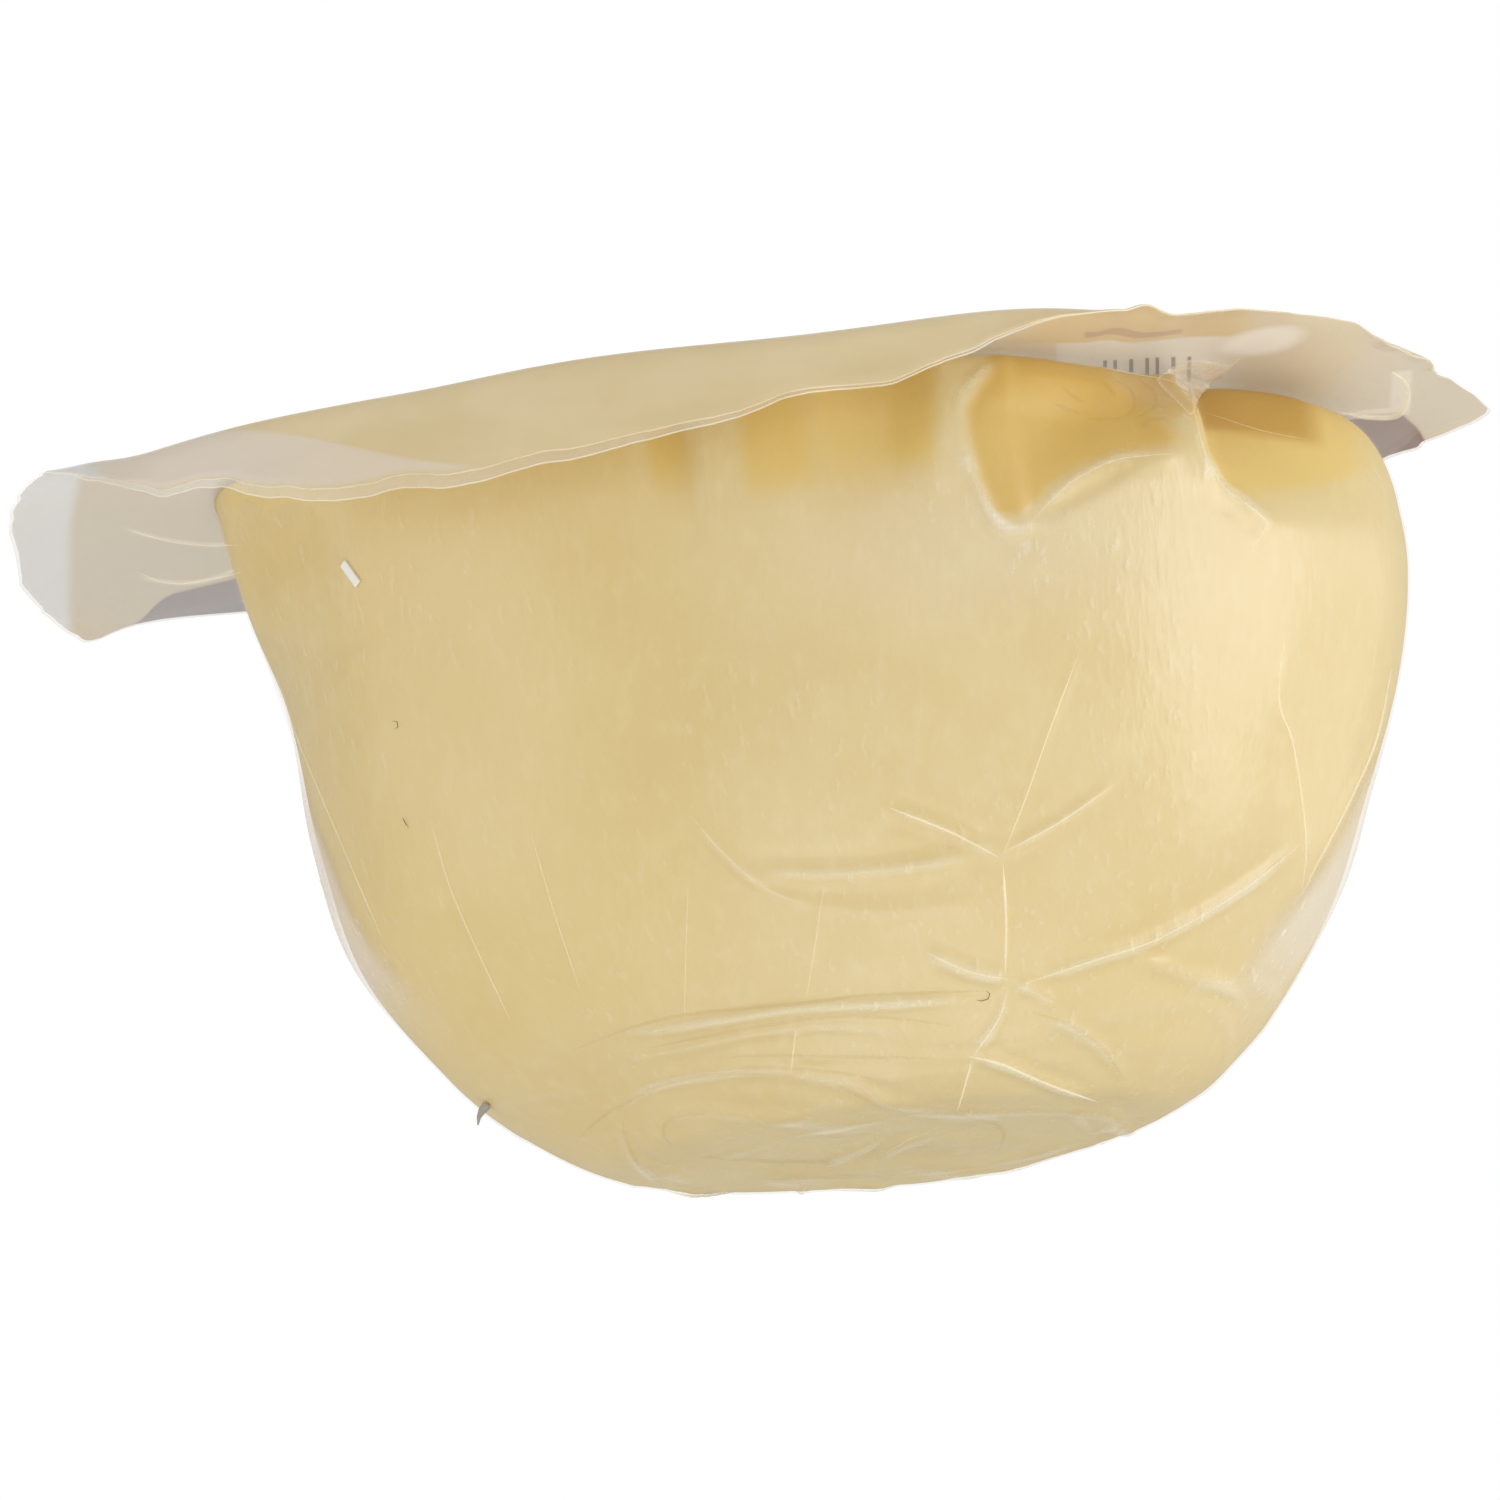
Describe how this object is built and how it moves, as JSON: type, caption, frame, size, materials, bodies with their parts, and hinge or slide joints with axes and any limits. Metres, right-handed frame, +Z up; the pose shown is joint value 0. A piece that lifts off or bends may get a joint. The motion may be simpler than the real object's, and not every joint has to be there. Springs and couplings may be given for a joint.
{
  "type": "vacuum-packed smoked scamorza",
  "caption": "Smoked scamorza in clear vacuum film: rounded straw-yellow cheese on a small flat foot, under a printed lid sheet with a wavy sealed flange.",
  "frame": {"origin": "on the ground, under the middle of the pack's box", "axes": "+X along the pack, towards the end with the narrow flange; +Y to the back; +Z up, towards the lid sheet"},
  "size_m": [0.1261, 0.0746, 0.0644],
  "materials": {
    "cheese": "smooth waxy straw-yellow smoked cheese under clinging clear film",
    "film": "thin glossy clear film, its lid printed pale tan on the inside"
  },
  "bodies": {
    "root": {"scamorza": "cheese", "sealed_film": "film"}
  },
  "joints": []
}
